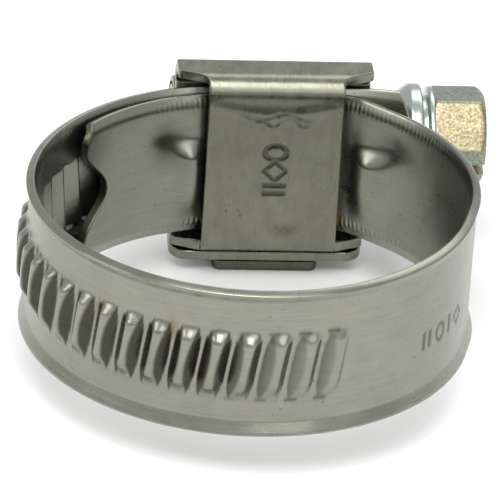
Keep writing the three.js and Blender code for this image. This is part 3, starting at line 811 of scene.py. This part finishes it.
def hex_head():
    """The head: at each height its radius is the hexagon's, a / (sum |cos(angle - flat)|^p)^(1/p),
    or the turned chamfer's where that is smaller. The slot is cut across two flats."""
    start = HEAD_END - HEAD_LENGTH
    corner = FLAT_DISTANCE / math.cos(math.pi / 6)
    chamfer, _, _ = bent_line([
        (start, 0.6, 0), (start, corner - 0.1, 0.12), (start + 0.25, corner + 0.15, 0.1),
        (HEAD_END - 0.5, corner + 0.15, 0.3), (HEAD_END, corner - 0.62, 0.25),
        (HEAD_END, 0.1, 0),
    ], 0.09)
    x, limit = chamfer[:, :1], chamfer[:, 1:]
    angle = np.linspace(0, 2 * math.pi, 361)[None, :-1]
    spread = sum(np.abs(np.cos(angle - flat_angle(k))) ** 60 for k in range(3))
    hexagon = FLAT_DISTANCE / spread ** (1 / 60)
    radius = (limit ** -24 + hexagon ** -24) ** (-1 / 24)
    grid = np.stack([x + 0 * angle, WORM_Y + radius * np.cos(angle), radius * np.sin(angle)], -1)
    uv = np.stack([x + 0 * angle, 4 * angle + 0 * x], -1) / 10
    piece = turned_mesh("screw_head", grid, uv)
    cut_away(piece, (HEAD_END - SLOT_DEPTH, WORM_Y - 6, -SLOT_WIDTH / 2),
             (HEAD_END + 1, WORM_Y + 6, SLOT_WIDTH / 2), flat_angle(1))
    piece.data.materials.clear()
    piece.data.materials.append(yellow_zinc())
    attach(piece, "screw")


# ---- Materials ----

def linear(code):
    """An sRGB hex colour as linear red, green, blue and 1."""
    parts = [int(code[i:i + 2], 16) / 255 for i in (1, 3, 5)]
    return tuple(c / 12.92 if c <= 0.04045 else ((c + 0.055) / 1.055) ** 2.4
                 for c in parts) + (1,)


def add_node(tree, kind, links=None, **settings):
    """Adds a node, sets its properties and unlinked inputs, and links {input: output socket}.
    A setting named in0, in1 ... is the input with that number; others are properties first."""
    made = tree.nodes.new("ShaderNode" + kind)
    for key, value in settings.items():
        if key.startswith("in") and key[2:].isdigit():
            made.inputs[int(key[2:])].default_value = value
        elif hasattr(made, key):
            setattr(made, key, value)
        else:
            made.inputs[key.replace("_", " ")].default_value = value
    for key, socket in (links or {}).items():
        tree.links.new(socket, made.inputs[key])
    return made


def metal(name, build):
    """A metal material with the shader's metallic at 1, finished by build(tree, shader)."""
    if name in bpy.data.materials:
        return bpy.data.materials[name]
    material = bpy.data.materials.new(name)
    material.use_nodes = True
    shader = material.node_tree.nodes["Principled BSDF"]
    shader.inputs["Metallic"].default_value = 1
    build(material.node_tree, shader)
    return material


def sheet_finish(tree, shader, light, dark, grain_mapping, rough):
    """Rolled sheet: a cloudy tone, fine rolling lines stretched along the strip, short dark
    scratches and specks, darker stamp marks, painted shade on the ridge flanks, beside the saddle
    plate, at the tongue's end and on the lock tab, and brown oil. Two bumps give it the fine
    lines and a slow unevenness 0.3 mm deep at most, which breaks up reflections."""
    place = add_node(tree, "UVMap", uv_map="sheet").outputs[0]
    grain_at = add_node(tree, "Mapping", {"Vector": place}, Scale=grain_mapping).outputs[0]
    grain = add_node(tree, "TexNoise", {"Vector": grain_at}, Scale=1.0, Detail=3.0).outputs[0]
    cloud = add_node(tree, "TexNoise", {"Vector": place}, Scale=4.0, Detail=4.0).outputs[0]
    tone = add_node(tree, "Math", {0: grain, 1: cloud}, operation="ADD").outputs[0]
    colour = add_node(tree, "ValToRGB", {"Fac": add_node(
        tree, "MapRange", {0: tone}, in1=0.7, in2=1.3, in3=0.0, in4=1.0).outputs[0]})
    colour.color_ramp.elements[0].color = linear(dark)
    colour.color_ramp.elements[1].color = linear(light)

    scratch_at = add_node(tree, "Mapping", {"Vector": place}, Scale=(
        grain_mapping[0] ** 0.6 * 4, grain_mapping[1] ** 0.6 * 4, 1)).outputs[0]
    scratch = add_node(tree, "TexNoise", {"Vector": scratch_at}, Scale=1.0, Detail=1.0).outputs[0]
    speck = add_node(tree, "TexNoise", {"Vector": place}, Scale=26.0, Detail=2.0).outputs[0]
    scratched = add_node(tree, "MapRange", {0: scratch}, in1=0.73, in2=0.80, in4=0.5).outputs[0]
    specked = add_node(tree, "MapRange", {0: speck}, in1=0.69, in2=0.75, in4=0.45).outputs[0]
    worn = add_node(tree, "Math", {0: scratched, 1: specked}, operation="MAXIMUM").outputs[0]
    # The stamp attribute also carries the lock tab's painted shade.
    stamped = add_node(tree, "Attribute", attribute_name="stamped").outputs["Fac"]
    stamped = add_node(tree, "Math", {0: stamped}, operation="MULTIPLY", in1=0.62).outputs[0]
    worn = add_node(tree, "Math", {0: worn, 1: stamped}, operation="MAXIMUM").outputs[0]
    # Painted shade: ridge flanks, the inner face beside the plate and the tongue's end.
    grime = add_node(tree, "Attribute", attribute_name="grime").outputs["Fac"]
    grime = add_node(tree, "Math", {0: grime}, operation="MULTIPLY", in1=0.85).outputs[0]
    # From here worn holds real wear and painted shade together.
    worn = add_node(tree, "Math", {0: worn, 1: grime}, operation="MAXIMUM").outputs[0]
    oil = add_node(tree, "Attribute", attribute_name="oil").outputs["Fac"]
    oiled = add_node(tree, "Mix", {0: oil, 6: colour.outputs[0]}, data_type="RGBA",
                     in7=linear("#7a5c24"))
    # Marks, scratches, specks and painted shade all darken towards this grey.
    mixed = add_node(tree, "Mix", {0: worn, 6: oiled.outputs[2]}, data_type="RGBA",
                     in7=linear("#312f25"))
    tree.links.new(mixed.outputs[2], shader.inputs["Base Color"])

    roughness = add_node(tree, "MapRange", {0: tone}, in1=0.7, in2=1.3, in3=rough - 0.05,
                         in4=rough + 0.06).outputs[0]
    tree.links.new(roughness, shader.inputs["Roughness"])
    height = add_node(tree, "Math", {0: grain, 1: scratched}, operation="SUBTRACT").outputs[0]
    fine = add_node(tree, "Bump", {"Height": height}, Strength=0.1, Distance=0.000008)
    uneven = add_node(tree, "Bump", {"Height": cloud, "Normal": fine.outputs[0]},
                      Strength=0.2, Distance=0.0003)
    tree.links.new(uneven.outputs[0], shader.inputs["Normal"])


def cold_rolled_stainless():
    """Ferritic stainless strip, cold rolled: satin, warm grey, with faint lines along the strip
    about 0.15 mm apart. The UV map counts 10 mm."""
    return metal("cold_rolled_stainless_strip", lambda tree, shader: sheet_finish(
        tree, shader, "#929387", "#86877c", (2.5, 40.0, 1.0), 0.3))


def pressed_stainless():
    """The same steel, pressed and folded: a little duller and darker, with grain along the
    strap."""
    return metal("pressed_stainless_sheet", lambda tree, shader: sheet_finish(
        tree, shader, "#868779", "#77786b", (14.0, 5.0, 1.0), 0.28))


def yellow_zinc():
    """Steel, zinc plated and yellow passivated: a pale gold film with a frosty grain of
    0.1 mm. Painted reflection turns two flats grey-green: the upper one and the lower front one.
    A flat fades in where the distance from the screw's axis along its normal comes within
    0.16 to 0.06 mm of the flat's own."""
    def build(tree, shader):
        place = add_node(tree, "TexCoord").outputs["Object"]
        grain = add_node(tree, "TexNoise", {"Vector": place}, Scale=5200.0, Detail=4.0).outputs[0]
        patch = add_node(tree, "TexNoise", {"Vector": place}, Scale=700.0, Detail=3.0).outputs[0]
        from_axis = add_node(tree, "VectorMath", {0: place}, operation="SUBTRACT",
                             in1=(0, WORM_Y * MM, 0)).outputs[0]
        # Painted reflection: grey-green on the upper flat and the lower front flat.
        flats = []
        for angle in (flat_angle(2), flat_angle(4)):
            far = add_node(tree, "VectorMath", {0: from_axis}, operation="DOT_PRODUCT",
                           in1=(0, math.cos(angle), math.sin(angle))).outputs["Value"]
            flats.append(add_node(tree, "MapRange", {0: far}, in1=(FLAT_DISTANCE - 0.16) * MM,
                                  in2=(FLAT_DISTANCE - 0.06) * MM, in3=0.0, in4=0.9).outputs[0])
        painted_reflection_flats = add_node(tree, "Math", {0: flats[0], 1: flats[1]}, operation="MAXIMUM").outputs[0]
        film = add_node(tree, "Mix", {0: painted_reflection_flats}, data_type="RGBA", in6=linear("#a69c7d"),
                        in7=linear("#9aa498"))
        light = add_node(tree, "MapRange", {0: grain}, in1=0.3, in2=0.7, in3=0.6,
                         in4=1.15).outputs[0]
        shade = add_node(tree, "MapRange", {0: patch}, in1=0.3, in2=0.7, in3=0.86,
                         in4=1.06).outputs[0]
        both = add_node(tree, "Math", {0: light, 1: shade}, operation="MULTIPLY").outputs[0]
        tinted = add_node(tree, "VectorMath", {0: film.outputs[2], 3: both}, operation="SCALE")
        tree.links.new(tinted.outputs[0], shader.inputs["Base Color"])
        rough = add_node(tree, "MapRange", {0: grain}, in1=0.3, in2=0.7, in3=0.5,
                         in4=0.3).outputs[0]
        tree.links.new(rough, shader.inputs["Roughness"])
        bump = add_node(tree, "Bump", {"Height": grain}, Strength=0.35, Distance=0.00003)
        tree.links.new(bump.outputs[0], shader.inputs["Normal"])
    return metal("yellow_passivated_zinc", build)


def bright_zinc():
    """Turned steel, bright zinc plated: pale blue-silver with turning lines 0.12 mm apart."""
    def build(tree, shader):
        place = add_node(tree, "UVMap", uv_map="sheet").outputs[0]
        lines_at = add_node(tree, "Mapping", {"Vector": place}, Scale=(80.0, 1.5, 1.0)).outputs[0]
        lines = add_node(tree, "TexNoise", {"Vector": lines_at}, Scale=1.0, Detail=3.0).outputs[0]
        colour = add_node(tree, "ValToRGB", {"Fac": lines})
        colour.color_ramp.elements[0].color = linear("#98a29b")
        colour.color_ramp.elements[1].color = linear("#c6d0ca")
        tree.links.new(colour.outputs[0], shader.inputs["Base Color"])
        shader.inputs["Roughness"].default_value = 0.24
        bump = add_node(tree, "Bump", {"Height": lines}, Strength=0.2, Distance=0.00001)
        tree.links.new(bump.outputs[0], shader.inputs["Normal"])
    return metal("bright_zinc_plated_steel", build)


# ---- Studio ----

def floor():
    """A pale matt table top, one wide square just under the clamp."""
    low = cad_box[0][2] / MM - 0.05
    far = 1500
    corners = np.array([[-far, -far, low], [far, -far, low], [far, far, low], [-far, far, low]])
    mesh = bpy.data.meshes.new("table_top")
    mesh.from_pydata((corners * MM).tolist(), [], [(0, 1, 2, 3)])
    table = bpy.data.objects.new("table_top", mesh)
    bpy.context.scene.collection.objects.link(table)
    paper = bpy.data.materials.new("matt_white_paper")
    paper.use_nodes = True
    shader = paper.node_tree.nodes["Principled BSDF"]
    shader.inputs["Base Color"].default_value = linear("#f4f4f4")
    shader.inputs["Roughness"].default_value = 0.9
    shader.inputs["Specular IOR Level"].default_value = 0.1
    mesh.materials.append(paper)


def soft_box(name, azimuth, elevation, distance, size, radiance):
    """A square soft light that faces the clamp. Its power is radiance x pi x area."""
    a, e = math.radians(azimuth), math.radians(elevation)
    place = Vector((math.sin(a) * math.cos(e), -math.cos(a) * math.cos(e), math.sin(e))) * distance
    lamp = bpy.data.lights.new(name, "AREA")
    lamp.shape, lamp.size, lamp.size_y = "RECTANGLE", size, size
    lamp.energy = radiance * math.pi * size * size
    light = bpy.data.objects.new(name, lamp)
    light.location = place
    light.rotation_mode = "QUATERNION"
    light.rotation_quaternion = place.to_track_quat("Z", "Y")
    bpy.context.scene.collection.objects.link(light)


def studio():
    """An even pale room with four soft boxes: the strongest above, a small one on the left,
    and weaker ones in front and behind."""
    world = bpy.data.worlds.new("pale_room")
    world.use_nodes = True
    background = world.node_tree.nodes["Background"]
    background.inputs["Color"].default_value = linear("#ffffff")
    background.inputs["Strength"].default_value = 0.72
    bpy.context.scene.world = world
    soft_box("soft_box_above", -15, 64, 0.45, 0.24, 6.0)
    soft_box("soft_box_front", 20, 38, 0.6, 0.36, 1.6)
    soft_box("soft_box_behind", 150, 50, 0.5, 0.3, 2.0)
    soft_box("soft_box_left", -83, 34, 0.5, 0.18, 3.5)
    bpy.context.scene.view_settings.view_transform = "Standard"


def camera():
    """A long lens, a little left of the front and 28.5 degrees above it, turned so that the
    clamp leans 3.7 degrees clockwise."""
    azimuth, elevation, distance = math.radians(-6), math.radians(28.5), 0.38
    back = Vector((math.sin(azimuth) * math.cos(elevation),
                   -math.cos(azimuth) * math.cos(elevation), math.sin(elevation)))
    lens = bpy.data.cameras.new("camera")
    lens.sensor_width, lens.lens = 36, 368.3
    eye = bpy.data.objects.new("camera", lens)
    eye.rotation_mode = "QUATERNION"
    lean = Quaternion((0, 0, 1), math.radians(3.7))
    eye.rotation_quaternion = back.to_track_quat("Z", "Y") @ lean
    aside = eye.rotation_quaternion @ Vector((0.13 * MM, 0.357 * MM, 0))
    eye.location = back * distance + aside
    bpy.context.scene.collection.objects.link(eye)
    bpy.context.scene.camera = eye


band()
saddle()
cap()
worm_and_collar()
hex_head()
floor()
studio()
camera()
